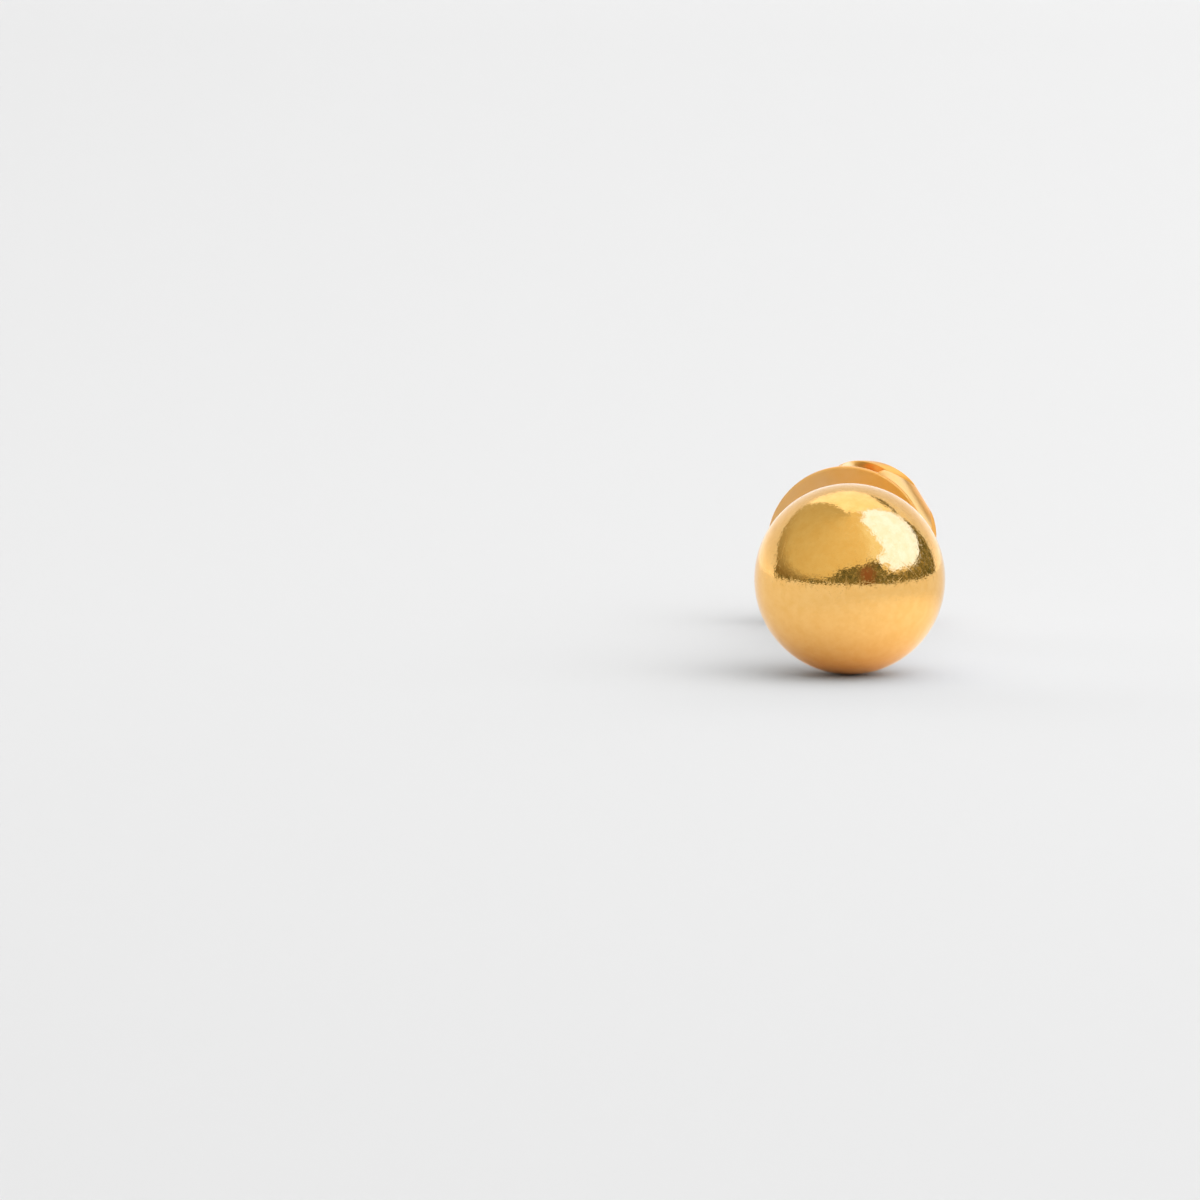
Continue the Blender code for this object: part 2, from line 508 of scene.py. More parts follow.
class GoldEffects:
    """Node groups that the gold finishes share, built once."""

    def __init__(self) -> None:
        """Build the groups."""
        self.film = film_group()
        self.scratches = scratch_group()
        self.dents = dent_group()


@dataclass(frozen=True)
class PaperFinish:
    """Matt pale paper of the floor and the backdrop.

    The gold mirrors a painted pool of light on the paper near the ball, brighter than the paper in view, and a
    glowing paper gives off more light than the camera sees, a painted glow. Lengths are in millimetres.
    """

    name: str = "pale_paper"
    tone: float = 0.80
    mottling: float = 0.003
    fibre_scale: float = 4.0
    roughness: float = 0.95
    mirrored_far: float = 1.0
    # Painted pool of light: how much brighter the gold mirrors the paper near the ball, and where
    mirrored_painted_pool: float = 1.25
    painted_pool_centre: tuple[float, float, float] = (4.0, -6.0, 0.0)
    painted_pool_radii: tuple[float, float] = (1.5, 11.0)
    # Painted light: the paper's tone grows lighter towards the window side, along this direction and between
    # these limits
    painted_side_light: tuple[float, float] = (0.945, 1.06)
    painted_side_light_direction: tuple[float, float, float] = (1.0, 0.2, 0.0)
    painted_side_light_limits: tuple[float, float] = (-45.0, 55.0)
    # Painted shade: the paper's tone grows darker far back towards the backdrop
    painted_far_shade: float = 0.885
    painted_far_shade_limits: tuple[float, float] = (5.0, 210.0)
    # Painted glow: the paper gives off light though it is no lamp; seen_glow is what the camera and the gold
    # see
    glow: float = 0.0
    seen_glow: float = 0.0

    def material(self) -> bpy.types.Material:
        """Build the paper's material, with painted light: lighter towards the window side, darker far back, and
        a painted pool of light near the ball that only the gold mirrors, a little brighter towards the window.

        Returns:
            The material.
        """
        made = bpy.data.materials.new(self.name)
        made.use_nodes = True
        graph = NodeGraph(made.node_tree)
        shader = made.node_tree.nodes["Principled BSDF"]
        place = graph.add("ShaderNodeTexCoord")
        in_mm = graph.add("ShaderNodeMapping", {"Vector": place.outputs["Object"],
                                                "Scale": (MM_PER_METRE,) * 3})
        cloud = graph.noise(in_mm.outputs[0], self.fibre_scale, detail=1.0)
        # Painted light: lighter towards the window side
        along = graph.add("ShaderNodeVectorMath", {0: in_mm.outputs[0], 1: self.painted_side_light_direction},
                          operation="DOT_PRODUCT").outputs["Value"]
        painted_side_light = graph.add("ShaderNodeMapRange", {
            "Value": along, "From Min": self.painted_side_light_limits[0], "From Max": self.painted_side_light_limits[1],
            "To Min": self.tone * self.painted_side_light[0], "To Max": self.tone * self.painted_side_light[1]}).outputs["Result"]
        # Painted shade: darker far back towards the backdrop
        deep = graph.add("ShaderNodeSeparateXYZ", {0: in_mm.outputs[0]}).outputs[1]
        fall = graph.add("ShaderNodeMapRange", {"Value": deep, "From Min": self.painted_far_shade_limits[0],
                                                "From Max": self.painted_far_shade_limits[1], "To Min": 1.0,
                                                "To Max": self.painted_far_shade}).outputs["Result"]
        tone = graph.math("MULTIPLY_ADD", cloud, self.mottling, graph.math("MULTIPLY", painted_side_light, fall))
        # Painted pool of light near the ball, which only glossy rays see
        away = graph.add("ShaderNodeVectorMath", {0: in_mm.outputs[0], 1: self.painted_pool_centre},
                         operation="DISTANCE").outputs["Value"]
        painted_pool_tone, far = self.tone * self.mirrored_painted_pool, self.tone * self.mirrored_far
        painted_pool = graph.blend(graph.step(away, *self.painted_pool_radii), (painted_pool_tone, painted_pool_tone, painted_pool_tone, 1.0), (far, far, far, 1.0))
        path = graph.add("ShaderNodeLightPath")
        mirrored = path.outputs["Is Glossy Ray"]
        graph.feed(shader.inputs["Base Color"], graph.blend(mirrored, tone, painted_pool))
        graph.feed(shader.inputs["Roughness"], self.roughness)
        graph.feed(shader.inputs["Specular IOR Level"], 0.0)
        # Painted glow: the paper shines as a light, and more faintly where seen
        if self.glow:
            seen = graph.math("MAXIMUM", mirrored, path.outputs["Is Camera Ray"])
            glow = graph.add("ShaderNodeMapRange", {"Value": seen, "To Min": self.glow,
                                                    "To Max": self.seen_glow})
            graph.feed(shader.inputs["Emission Color"], (1.0, 1.0, 1.0, 1.0))
            graph.feed(shader.inputs["Emission Strength"], glow.outputs["Result"])
        return made


POLISHED = GoldFinish(
    name="mirror_polished_gold", pale=(1.0, 0.60, 0.20), deep=(0.96, 0.54, 0.155), polish=0.045,
    scratched=0.22, scratch_amount=0.35, scratch_spacing=14.0, wave_scale=1.4, wave_height=0.0045,
    grain_share=0.7, scratch_depth=0.0006, patch_scale=4.0, lean=0.0, evenness=0.25, grain=12.0)
SATIN = GoldFinish(
    name="satin_plate_gold", pale=(1.0, 0.61, 0.28), deep=(0.96, 0.48, 0.09), polish=0.40,
    scratched=0.42, scratch_amount=0.3, scratch_spacing=18.0, wave_scale=1.8, wave_height=0.004,
    grain_share=0.25, scratch_depth=0.0006, patch_scale=1.0, lean=0.22, evenness=0.5, grain=8.0)
ROLLED = GoldFinish(
    name="bright_rolled_gold", pale=(1.0, 0.60, 0.23), deep=(1.0, 0.48, 0.10), polish=0.23,
    scratched=0.32, scratch_amount=0.4, scratch_spacing=16.0, wave_scale=1.6, wave_height=0.003,
    grain_share=0.3, scratch_depth=0.0007, patch_scale=1.2, lean=0.17, evenness=0.5, grain=9.0)


# The earring


@dataclass
class PostAxis:
    """Where the post lies: the ball's centre and the post's direction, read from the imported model."""

    ball_radius: float = 0.0025
    direction: Vector = field(init=False)
    ball_centre: Vector = field(init=False)

    def __post_init__(self) -> None:
        """Read the direction from the back's slide, and the ball's centre from the stud's box."""
        slide = frame["record"]["behaviour"]["joints"][0]
        low, high = (Vector(corner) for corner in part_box(NodeName.STUD.value))
        self.direction = Vector(slide["axis"]).normalized()
        self.ball_centre = Vector(((low.x + high.x) / 2, low.y + self.ball_radius, (low.z + high.z) / 2))

    def place(self) -> Matrix:
        """Matrix that takes +Y to the post's direction and the origin to the ball's centre."""
        pitch = math.asin(self.direction.z)
        return Matrix.Translation(self.ball_centre) @ Matrix.Rotation(pitch, 4, "X")

    @staticmethod
    def bench_to_post() -> Matrix:
        """Matrix that lays a piece modelled along +Z down along +Y."""
        return Matrix.Rotation(-math.pi / 2, 4, "X")


@dataclass
class BallStud:
    """Polished ball with its ear post soldered on."""

    axis: PostAxis
    radius: float = PostAxis.ball_radius
    post_radius: float = 0.00045
    post_end: float = 0.01315
    tip_round: float = 0.00028
    solder_fillet: float = 0.00035
    sides: int = 192
    bands: int = 96
    fillet_steps: int = 10
    tip_steps: int = 8
    crisp_angle: float = 50.0

    def build(self, finish: bpy.types.Material) -> bpy.types.Object:
        """Model the ball and post as one closed mesh and seat it.

        Args:
            finish: Material of the metal.

        Returns:
            The finished piece.
        """
        clear_selection()
        bpy.ops.mesh.primitive_uv_sphere_add(segments=self.sides, ring_count=self.bands, radius=self.radius)
        piece = bpy.context.object
        piece.name = "polished_ball_and_post"
        with editing(piece):
            self.open_ball(piece)
            self.draw_out_post()
        close_up(piece)
        smooth_by_angle(piece, self.crisp_angle)
        piece.data.materials.append(finish)
        seat(piece, self.axis.place() @ PostAxis.bench_to_post())
        return piece

    def meeting_angle(self) -> float:
        """Angle from the post at which the solder meets the ball."""
        out = self.post_radius + self.solder_fillet
        return math.asin(out / (self.radius + self.solder_fillet))

    def open_ball(self, piece: bpy.types.Object) -> None:
        """Cut away the part of the ball under the solder and select the open rim.

        Args:
            piece: Ball in edit mode.
        """
        height = self.radius * math.cos(self.meeting_angle())
        select_parts(piece, MeshPart.VERT, lambda vertex: vertex.co.z > height - MERGE_DISTANCE)
        bpy.ops.mesh.delete(type="VERT")
        select_parts(piece, MeshPart.EDGE, lambda edge: edge.is_boundary)

    def post_outline(self) -> list[tuple[float, float]]:
        """Outline of the solder fillet, the post and its rounded tip.

        Returns:
            Points (along the post, out from its middle).
        """
        meeting = self.meeting_angle()
        along = (self.radius + self.solder_fillet) * math.cos(meeting)
        out = self.post_radius + self.solder_fillet
        points = [(self.radius * math.cos(meeting), self.radius * math.sin(meeting))]
        points += arc_points((along, out), self.solder_fillet, meeting - math.pi, -math.pi / 2,
                             self.fillet_steps)
        tip = (self.post_end - self.tip_round, self.post_radius - self.tip_round)
        points.append((tip[0], self.post_radius))
        points += arc_points(tip, self.tip_round, math.pi / 2, 0.0, self.tip_steps)
        return points

    def draw_out_post(self) -> None:
        """Extrude the open rim ring by ring along the post, and close its tip."""
        height = self.rim_height()
        out = math.sqrt(self.radius ** 2 - height ** 2)
        for next_height, next_out in self.post_outline():
            move = {"value": (0.0, 0.0, next_height - height)}
            bpy.ops.mesh.extrude_edges_move(TRANSFORM_OT_translate=move)
            bpy.ops.transform.resize(value=(next_out / out, next_out / out, 1.0),
                                     center_override=(0.0, 0.0, next_height))
            height, out = next_height, next_out
        bpy.ops.mesh.extrude_edges_move(TRANSFORM_OT_translate={"value": (0.0, 0.0, 0.0)})
        bpy.ops.mesh.merge(type="CENTER")

    def rim_height(self) -> float:
        """Height of the ball's last ring before the solder."""
        band = math.pi / self.bands
        return self.radius * math.cos(math.ceil(self.meeting_angle() / band) * band)


@dataclass
class ButterflyBack:
    """Push-on back: a round plate, and a wing of sheet rolled into a scroll on each side behind it."""

    axis: PostAxis
    standoff: float = 0.01025
    sheet: float = 0.00028
    plate_radius: float = 0.00213
    depth: float = 0.0019
    reach: float = 0.00232
    wing_radius: float = 0.00193
    bend_half_width: float = 0.0004
    neck_half_width: float = 0.00123
    notch_depth: float = 0.00046
    post_clearance: float = 0.00008
    end_gap: float = 0.00012
    edge_round: float = 0.00006
    sheet_edge_round: float = 0.00005
    skew: float = math.radians(6)
    roll: float = math.radians(31.5)
    plate_sides: int = 192
    plate_edge_steps: int = 4
    wing_columns: int = 28
    wing_rows: int = 60
    wing_edge_steps: int = 3
    wing_start: float = math.radians(15)
    angle_step: float = math.radians(0.5)
    crisp_angle: float = 35.0
    plate_bevel_angle: float = math.radians(60)
    wing_bevel_angle: float = math.radians(50)

    def pinch_radius(self) -> float:
        """Distance of each scroll from the back's own axis where it grips the post."""
        return BallStud.post_radius / math.cos(self.skew) + self.post_clearance

    def spiral(self) -> tuple[float, float, float, float]:
        """Spiral of the scroll's middle line.

        Returns:
            Centre (out, behind), first radius and shrink per turn.
        """
        first = (self.pinch_radius() - self.reach - self.sheet) / 2 + self.depth
        shrink = 4 * first - 2 * (self.depth - self.sheet)
        return self.reach - self.sheet / 2 - first + shrink / 4, self.sheet / 2 + first, first, shrink

    def spiral_point(self, angle: float) -> tuple[float, float]:
        """Point of the scroll's middle line.

        Args:
            angle: Angle from the plate.

        Returns:
            Distance out from the back's own axis and behind the plate's front.
        """
        out, behind, first, shrink = self.spiral()
        radius = first - shrink * angle / math.tau
        return out + radius * math.sin(angle), behind - radius * math.cos(angle)

    def spiral_end(self) -> float:
        """Angle at which the scroll ends.

        Returns:
            Last angle that leaves the sheet just clear of the plate's rear face.
        """
        limit = self.sheet * 1.5 + self.end_gap
        angle = math.tau
        while self.spiral_point(angle)[1] < limit:
            angle -= self.angle_step
        return angle

    def half_width(self, angle: float) -> float:
        """Half the sheet's width at an angle of the scroll.

        Args:
            angle: Angle from the plate.

        Returns:
            Half width, from the wing's round outline and the neck beside the plate.
        """
        out, behind = self.spiral_point(angle)
        outer_face = out + self.sheet / 2 * math.sin(angle)
        centre = self.reach - math.sqrt(self.wing_radius ** 2 - self.bend_half_width ** 2)
        chord = max(self.wing_radius ** 2 - (outer_face - centre) ** 2, self.bend_half_width ** 2)
        width = math.sqrt(chord)
        return min(width, self.neck_half_width) if behind < self.notch_depth else width

    def place(self) -> Matrix:
        """Seat of the back on the post: askew and rolled about the point where it grips.

        Returns:
            Matrix of the seat.
        """
        pinch = self.spiral()[1]
        return (self.axis.place() @ Matrix.Translation((0.0, self.standoff + pinch, 0.0))
                @ Matrix.Rotation(-self.skew, 4, "Z") @ Matrix.Rotation(-self.roll, 4, "Y")
                @ Matrix.Translation((0.0, -pinch, 0.0)) @ PostAxis.bench_to_post())

    def build_plate(self, finish: bpy.types.Material) -> bpy.types.Object:
        """Model the round plate with its hole and rounded edges.

        Args:
            finish: Material of the metal.

        Returns:
            The finished piece.
        """
        clear_selection()
        bpy.ops.mesh.primitive_cylinder_add(vertices=self.plate_sides, radius=self.plate_radius,
                                            depth=self.sheet, location=(0.0, 0.0, self.sheet / 2))
        piece = bpy.context.object
        piece.name = "back_plate"
        apply_place()
        hole = self.pinch_radius() + self.spiral()[1] * math.tan(self.skew)
        with editing(piece):
            select_parts(piece, MeshPart.FACE, lambda face: abs(face.normal.z) > FLAT_LIMIT)
            bpy.ops.mesh.inset(thickness=self.plate_radius - hole, depth=0.0)
            bpy.ops.mesh.delete(type="FACE")
            select_parts(piece, MeshPart.EDGE, lambda edge: edge.is_boundary)
            bpy.ops.mesh.bridge_edge_loops()
        close_up(piece)
        apply_modifier(piece, "BEVEL", width=self.edge_round, segments=self.plate_edge_steps,
                       limit_method="ANGLE", angle_limit=self.plate_bevel_angle)
        smooth_by_angle(piece, self.crisp_angle)
        piece.data.materials.append(finish)
        seat(piece, self.place())
        return piece

    def build_scroll(self, wing: Wing, finish: bpy.types.Material) -> bpy.types.Object:
        """Model one wing of sheet, rolled row by row from under the plate to its inner end.

        Args:
            wing: Side of the back.
            finish: Material of the metal.

        Returns:
            The finished piece.
        """
        out, behind = self.spiral_point(self.wing_start)
        width = self.half_width(self.wing_start)
        turn = self.spiral_end() - self.wing_start
        clear_selection()
        bpy.ops.mesh.primitive_grid_add(x_subdivisions=1, y_subdivisions=self.wing_columns, size=2 * width,
                                        location=(out - width, 0.0, behind))
        piece = bpy.context.object
        piece.name = f"scroll_{wing.name.lower()}"
        apply_place()
        with editing(piece):
            select_parts(piece, MeshPart.VERT, lambda vertex: vertex.co.x < out - width)
            bpy.ops.mesh.delete(type="VERT")
            bpy.ops.mesh.select_mode(type="EDGE")
            bpy.ops.mesh.select_all(action="SELECT")
            for row in range(1, self.wing_rows + 1):
                angle = self.wing_start + turn * row / self.wing_rows
                next_out, next_behind = self.spiral_point(angle)
                next_width = self.half_width(angle)
                move = {"value": (next_out - out, 0.0, next_behind - behind)}
                bpy.ops.mesh.extrude_edges_move(TRANSFORM_OT_translate=move)
                bpy.ops.transform.resize(value=(1.0, next_width / width, 1.0),
                                         center_override=(next_out, 0.0, next_behind))
                out, behind, width = next_out, next_behind, next_width
        close_up(piece)
        apply_modifier(piece, "SOLIDIFY", thickness=self.sheet, offset=0.0, use_even_offset=True)
        apply_modifier(piece, "BEVEL", width=self.sheet_edge_round, segments=self.wing_edge_steps,
                       limit_method="ANGLE", angle_limit=self.wing_bevel_angle)
        close_up(piece)
        smooth_by_angle(piece, self.crisp_angle)
        piece.data.materials.append(finish)
        seat(piece, self.place() @ Matrix.Rotation(wing.value, 4, "Z"))
        return piece


# The studio


@dataclass(frozen=True)
class LinePoint:
    """Height of a line round the room in one direction from the table, both in degrees."""

    azimuth: float
    height: float


SKYLINE = tuple(LinePoint(*pair) for pair in (
    (-180, 0), (-155, 0), (-148, 24), (-135, 20), (-120, 14), (-105, 6), (-90, 3), (-60, 3), (-35, 5),
    (-12, 16), (0, 21), (20, 23), (34, 27), (42, 17), (58, 10), (80, 11), (100, 17), (109, 22), (119, 30),
    (128, 39), (136, 46), (146, 49), (158, 47), (167, 42), (174, 0), (180, 0)))
SHADE_LINE = tuple(LinePoint(*pair) for pair in (
    (-180, 20), (-158, 34), (-143, 44), (-130, 47), (-117, 46), (-102, 37), (-90, 28), (-78, 19), (-70, 15),
    (-49, 10), (-20, 9), (20, 8), (60, 2), (180, 1)))


@dataclass(frozen=True)
class Patch:
    """A patch of light or shade in the room, between two azimuths and two elevations, in degrees."""

    name: str
    azimuths: tuple[float, float]
    elevations: tuple[float, float]
    softness: float
    radiance: tuple[float, float, float]


ROOM_DARK = (0.56, 0.54, 0.38)
ROOM_LIGHT = (0.86, 0.80, 0.56)
FOLIAGE_DARK = (0.085, 0.10, 0.055)
FOLIAGE_LIGHT = (0.62, 0.56, 0.34)
SHADE_TONE = (0.20, 0.16, 0.08)
WINDOW_TONE = (1.15, 1.64, 3.3)
PATCHES = (
    Patch("lit_ceiling_left", (-190, -150), (30, 85), 5.0, (1.25, 1.30, 1.32)),
    Patch("lit_ceiling_right", (134, 190), (30, 85), 5.0, (1.22, 1.24, 1.22)),
    Patch("wall_beside_window", (30, 60), (24, 74), 26.0, (0.97, 1.03, 0.95)),
    Patch("bright_window", (51, 131), (13, 78), 6.0, WINDOW_TONE),
    Patch("window_corner", (39, 60), (22, 32), 6.0, WINDOW_TONE),
)


@dataclass(frozen=True)
class SoftLight:
    """A round soft light in the room, with the angles from its middle where it starts and ends to fade."""

    name: str
    azimuth: float
    elevation: float
    inner: float
    outer: float
    strength: float

    def direction(self) -> Vector:
        """Direction from the table to the middle of the light."""
        turn, rise = math.radians(self.azimuth), math.radians(self.elevation)
        return Vector((math.sin(turn) * math.cos(rise), -math.cos(turn) * math.cos(rise), math.sin(rise)))


SOFT_LIGHTS = (
    SoftLight("window_light", 68, 18, 10, 75, 1.10),
    SoftLight("ceiling_light", 46, 83, 10, 65, 1.20),
)
CLAY_POT = Patch("clay_pot", (14, 30), (2, 21), 12.0, (0.27, 0.135, 0.08))
PAPER_EDGE = Patch("lit_paper_edge", (130, 176), (-10, 43), 4.0, (0.90, 0.90, 0.90))


@dataclass
class Studio:
    """Pale paper floor and backdrop, and the daylight room round them.

    Swings are in degrees: how far noise moves an edge of the room.
    """

    axis: PostAxis
    floor_half_size: float = 3.4
    floor_cuts: int = 3
    backdrop_distance: float = 0.8
    backdrop_height: float = 0.68
    backdrop_left: float = 3.2
    backdrop_right: float = 0.95
    backdrop_curve: float = 0.09
    backdrop_turns: int = 8
    crisp_angle: float = 60.0
    highest_line: float = 60.0
    lowest_shade: float = 1.0
    ragged_scale: float = 11.0
    ragged_swing: tuple[float, float] = (13.0, 9.0)
    leaf_scale: float = 22.0
    leaf_swing: float = 7.0
    leaf_edge: float = 1.5
    gap_scale: float = 34.0
    gap_limits: tuple[float, float] = (0.46, 0.68)
    room_limits: tuple[float, float] = (-150.0, 40.0)
    camera_tone: float = 0.86
    ambient: float = 0.06

    def floor_level(self) -> float:
        """Height of the floor, just under the ball's lowest point."""
        return self.axis.ball_centre.z - self.axis.ball_radius

    def build_floor(self, finish: bpy.types.Material) -> bpy.types.Object:
        """Lay the floor.

        Args:
            finish: Material of the paper.

        Returns:
            The floor.
        """
        clear_selection()
        bpy.ops.mesh.primitive_plane_add(size=2 * self.floor_half_size, location=(0, 0, self.floor_level()))
        floor = bpy.context.object
        floor.name = "paper_floor"
        with editing(floor):
            bpy.ops.mesh.select_all(action="SELECT")
            bpy.ops.mesh.subdivide(number_cuts=self.floor_cuts)
        apply_place()
        floor.data.materials.append(finish)
        return floor

    def build_backdrop(self, finish: bpy.types.Material) -> bpy.types.Object:
        """Stand the paper backdrop up behind the table, curved up from the floor.

        Args:
            finish: Material of the paper.

        Returns:
            The backdrop.
        """
        clear_selection()
        bpy.ops.mesh.primitive_plane_add(size=1.0)
        drop = bpy.context.object
        drop.name = "paper_backdrop"
        width = self.backdrop_left + self.backdrop_right
        foot = self.backdrop_distance - self.backdrop_curve
        drop.scale = (width, self.backdrop_curve, 1.0)
        drop.location = ((self.backdrop_right - self.backdrop_left) / 2, foot - self.backdrop_curve / 2,
                         self.floor_level() + MERGE_DISTANCE)
        apply_place()
        with editing(drop):
            select_parts(drop, MeshPart.EDGE,
                         lambda edge: all(v.co.y > foot - MERGE_DISTANCE for v in edge.verts))
            for turn in range(self.backdrop_turns):
                start, end = (math.pi / 2 * t / self.backdrop_turns for t in (turn, turn + 1))
                forward = self.backdrop_curve * (math.sin(end) - math.sin(start))
                upward = self.backdrop_curve * (math.cos(start) - math.cos(end))
                bpy.ops.mesh.extrude_edges_move(TRANSFORM_OT_translate={"value": (0.0, forward, upward)})
            rise = self.backdrop_height - self.backdrop_curve
            bpy.ops.mesh.extrude_edges_move(TRANSFORM_OT_translate={"value": (0.0, 0.0, rise)})
        smooth_by_angle(drop, self.crisp_angle)
        drop.data.materials.append(finish)
        return drop

    def light_room(self) -> None:
        """Light the scene with a daylight room: a window, a lit ceiling, a grey room and dark trees."""
        world = bpy.data.worlds.new("daylight_room")
        bpy.context.scene.world = world
        world.use_nodes = True
        graph = NodeGraph(world.node_tree)
        direction = graph.add("ShaderNodeTexCoord").outputs["Generated"]
        parts = graph.add("ShaderNodeSeparateXYZ", {0: direction})
        flat = graph.math("ARCTAN2", parts.outputs[0], graph.math("MULTIPLY", parts.outputs[1], -1.0))
        azimuth = graph.math("DEGREES", flat)
        elevation = graph.math("DEGREES", graph.math("ARCSINE", parts.outputs[2]))
        noise = graph.noise(direction, self.ragged_scale, detail=4.0, roughness=0.65)
        ragged = graph.math("SUBTRACT", noise, 0.5)
        edge_azimuth, edge_elevation = (
            graph.math("ADD", angle, graph.math("MULTIPLY", ragged, swing))
            for angle, swing in zip((azimuth, elevation), self.ragged_swing))

        colour: object = self.room_colour(graph, azimuth)
        shade = self.shade_mask(graph, azimuth, elevation)
        colour = graph.blend(shade, colour, (*SHADE_TONE, 1.0))
        for patch in PATCHES:
            mask = self.patch_mask(graph, patch, edge_azimuth, edge_elevation)
            colour = graph.blend(mask, colour, (*patch.radiance, 1.0))
        trees = self.tree_colour(graph, direction, edge_azimuth, edge_elevation)
        colour = graph.blend(self.tree_mask(graph, azimuth, elevation, direction), colour, trees)
        edge = self.patch_mask(graph, PAPER_EDGE, azimuth, elevation)
        colour = graph.blend(edge, colour, (*PAPER_EDGE.radiance, 1.0))

        mirrored = graph.add("ShaderNodeBackground", {"Color": colour})
        path = graph.add("ShaderNodeLightPath")
        daylight = graph.blend(path.outputs["Is Camera Ray"], self.daylight(graph, direction),
                               (self.camera_tone,) * 3 + (1.0,))
        thrown = graph.add("ShaderNodeBackground", {"Color": daylight})
        mixed = graph.add("ShaderNodeMixShader", {0: path.outputs["Is Glossy Ray"], 1: thrown.outputs[0],
                                                  2: mirrored.outputs[0]})
        graph.feed(world.node_tree.nodes["World Output"].inputs["Surface"], mixed.outputs[0])

    def daylight(self, graph: NodeGraph, direction: object) -> bpy.types.NodeSocket:
        """Strength of the light that the room throws on the table, without the room's fine detail.

        Args:
            graph: Graph of the world.
            direction: Direction vector.

        Returns:
            Strength socket.
        """
        total: object = self.ambient
        for glow in SOFT_LIGHTS:
            toward = graph.add("ShaderNodeVectorMath", {0: direction, 1: glow.direction()},
                               operation="DOT_PRODUCT").outputs["Value"]
            lobe = graph.step(toward, math.cos(math.radians(glow.outer)), math.cos(math.radians(glow.inner)))
            total = graph.math("MULTIPLY_ADD", lobe, glow.strength, total)
        return total

    def room_colour(self, graph: NodeGraph, azimuth: object) -> bpy.types.NodeSocket:
        """Grey room and ceiling, lighter towards the window."""
        return graph.blend(graph.step(azimuth, *self.room_limits), (*ROOM_DARK, 1.0), (*ROOM_LIGHT, 1.0))

    @staticmethod
    def patch_mask(graph: NodeGraph, patch: Patch, azimuth: object,
                   elevation: object) -> bpy.types.NodeSocket:
        """Mask of a patch, soft at its four sides.

        Args:
            graph: Graph of the world.
            patch: Patch to draw.
            azimuth: Azimuth of the direction, in degrees.
            elevation: Elevation of the direction, in degrees.

        Returns:
            Mask socket, 1 inside.
        """
        soft = patch.softness / 2
        mask: object = 1.0
        for value, (low, high) in ((azimuth, patch.azimuths), (elevation, patch.elevations)):
            rise = graph.step(value, low - soft, low + soft)
            fall = graph.math("SUBTRACT", 1.0, graph.step(value, high - soft, high + soft))
            mask = graph.math("MULTIPLY", mask, graph.math("MULTIPLY", rise, fall))
        return mask

    def height_line(self, graph: NodeGraph, azimuth: object,
                    points: tuple[LinePoint, ...]) -> bpy.types.NodeSocket:
        """Height, in degrees, of a line round the room.

        Args:
            graph: Graph of the world.
            azimuth: Azimuth of the direction, in degrees.
            points: Points of the line.

        Returns:
            Height socket.
        """
        share = graph.math("DIVIDE", graph.math("ADD", azimuth, 180.0), 360.0)
        curve = graph.add("ShaderNodeFloatCurve", {"Value": share})
        line = curve.mapping.curves[0]
        places = [((p.azimuth + 180) / 360, p.height / self.highest_line) for p in points]
        line.points[0].location, line.points[1].location = places[0], places[-1]
        for place in places[1:-1]:
            line.points.new(*place)
        curve.mapping.update()
        return graph.math("MULTIPLY", curve.outputs[0], self.highest_line)

    def shade_mask(self, graph: NodeGraph, azimuth: object, elevation: object) -> bpy.types.NodeSocket:
        """Mask of the soft shade low in the room, which fades out upwards.

        Args:
            graph: Graph of the world.
            azimuth: Azimuth of the direction, in degrees.
            elevation: Elevation of the direction, in degrees.

        Returns:
            Mask socket, 1 in the deepest shade.
        """
        height = graph.math("MAXIMUM", self.height_line(graph, azimuth, SHADE_LINE), self.lowest_shade)
        return graph.math("SUBTRACT", 1.0, graph.step(graph.math("DIVIDE", elevation, height), 0.0, 1.0))

    def tree_mask(self, graph: NodeGraph, azimuth: object, elevation: object,
                  direction: object) -> bpy.types.NodeSocket:
        """Mask of the dark trees and furniture below the skyline.

        Args:
            graph: Graph of the world.
            azimuth: Azimuth of the direction, in degrees.
            elevation: Elevation of the direction, in degrees.
            direction: Direction vector, for the leaves' edge.

        Returns:
            Mask socket, 1 in the trees.
        """
        leaves = graph.math("SUBTRACT", graph.noise(direction, self.leaf_scale, detail=3.0), 0.5)
        height = self.height_line(graph, azimuth, SKYLINE)
        height = graph.math("ADD", height, graph.math("MULTIPLY", leaves, self.leaf_swing))
        over = graph.math("SUBTRACT", elevation, height)
        return graph.math("SUBTRACT", 1.0, graph.step(over, -self.leaf_edge, self.leaf_edge))

    def tree_colour(self, graph: NodeGraph, direction: object, azimuth: object,
                    elevation: object) -> bpy.types.NodeSocket:
        """Dark leaves with lighter gaps, and a clay pot among them.

        Args:
            graph: Graph of the world.
            direction: Direction vector.
            azimuth: Azimuth of the direction, in degrees.
            elevation: Elevation of the direction, in degrees.

        Returns:
            Colour socket.
        """
        spots = graph.noise(direction, self.gap_scale, detail=3.0, roughness=0.6)
        gaps = graph.step(spots, *self.gap_limits)
        leaves = graph.blend(gaps, (*FOLIAGE_DARK, 1.0), (*FOLIAGE_LIGHT, 1.0))
        pot = self.patch_mask(graph, CLAY_POT, azimuth, elevation)
        return graph.blend(pot, leaves, (*CLAY_POT.radiance, 1.0))


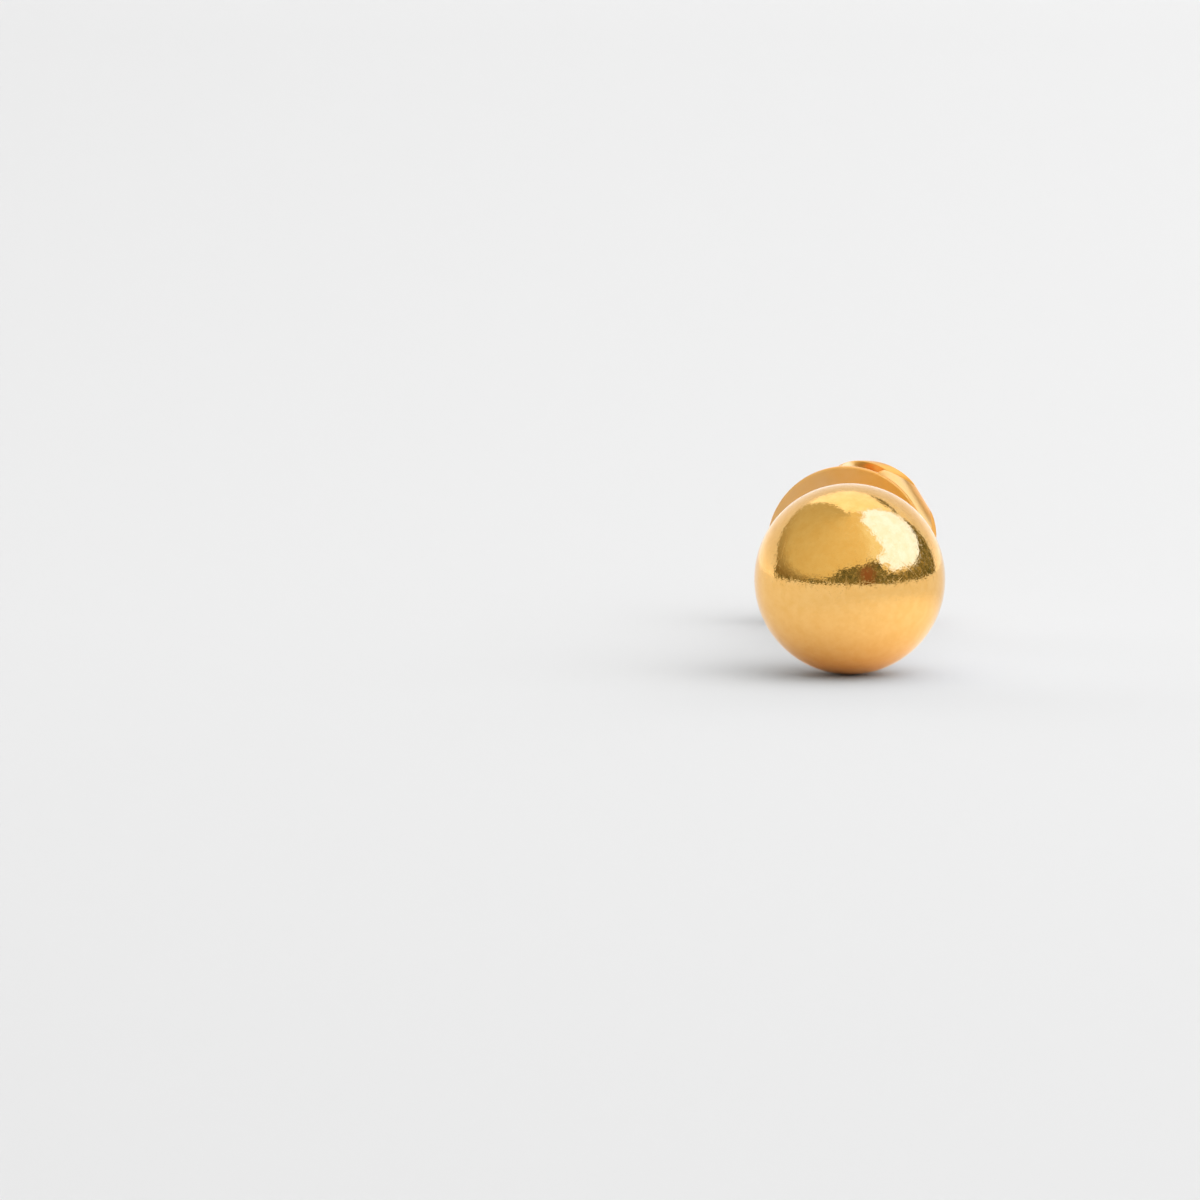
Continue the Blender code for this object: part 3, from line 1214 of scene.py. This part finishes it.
@dataclass
class PhotoCamera:
    """Camera at the photograph's angle, with the ball at its place in the square frame."""

    axis: PostAxis
    frame_px: float = 1200.0
    ball_px: tuple[float, float] = (849.7, 578.9)
    ball_radius_px: float = 95.6
    distance: float = 0.375
    elevation: float = math.radians(6.7)
    azimuth: float = math.radians(-1.0)
    sensor: float = 36.0
    clip: tuple[float, float] = (0.001, 10.0)

    def build(self) -> bpy.types.Object:
        """Add the camera and make it the scene's.

        Returns:
            The camera.
        """
        scale = self.axis.ball_radius / self.ball_radius_px
        ahead = Vector((math.sin(self.azimuth) * math.cos(self.elevation),
                        math.cos(self.azimuth) * math.cos(self.elevation), -math.sin(self.elevation)))
        right = Vector((math.cos(self.azimuth), -math.sin(self.azimuth), 0.0))
        up = right.cross(ahead)
        across = (self.ball_px[0] - self.frame_px / 2) * scale
        above = (self.frame_px / 2 - self.ball_px[1]) * scale
        spot = self.axis.ball_centre - ahead * self.distance - right * across - up * above

        lens = bpy.data.cameras.new("photo_camera")
        lens.sensor_width = self.sensor
        lens.lens = self.sensor * self.distance / (self.frame_px * scale)
        lens.clip_start, lens.clip_end = self.clip
        camera = bpy.data.objects.new("photo_camera", lens)
        bpy.context.scene.collection.objects.link(camera)
        turn = Matrix((right, up, -ahead)).transposed().to_4x4()
        camera.matrix_world = Matrix.Translation(spot) @ turn
        bpy.context.scene.camera = camera
        return camera


def ride(piece: bpy.types.Object, body: Body, node: NodeName) -> None:
    """Hang a piece on its body, in place of the node that it stands for.

    Args:
        piece: Finished piece.
        body: Body that it moves with.
        node: Node that it stands for.
    """
    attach(piece, body.value)
    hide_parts(node.value)
    LOG.info("%s rides on %s: %d faces", piece.name, body.value, len(piece.data.polygons))


def main() -> None:
    """Build the earring, the studio and the camera."""
    logging.basicConfig(level=logging.INFO, format="%(name)s: %(message)s")
    axis = PostAxis()
    PhotoCamera(axis).build()
    effects = GoldEffects()
    polished = POLISHED.material(effects)
    satin = SATIN.material(effects)
    rolled = ROLLED.material(effects)

    ride(BallStud(axis).build(polished), Body.STUD, NodeName.STUD)
    back = ButterflyBack(axis)
    ride(back.build_plate(satin), Body.BACK, NodeName.BACK)
    for wing in Wing:
        ride(back.build_scroll(wing, rolled), Body.BACK, NodeName.BACK)

    studio = Studio(axis)
    table_paper = PaperFinish().material()
    # The backdrop paper glows as a painted light, though it is no lamp
    glowing_paper = PaperFinish(name="lit_backdrop_paper", glow=1.2, seen_glow=0.20).material()
    for surface in (studio.build_floor(table_paper), studio.build_backdrop(glowing_paper)):
        LOG.info("%s is part of the studio", surface.name)
    studio.light_room()
    bpy.context.scene.view_settings.view_transform = "Standard"


if __name__ == "__main__":
    main()
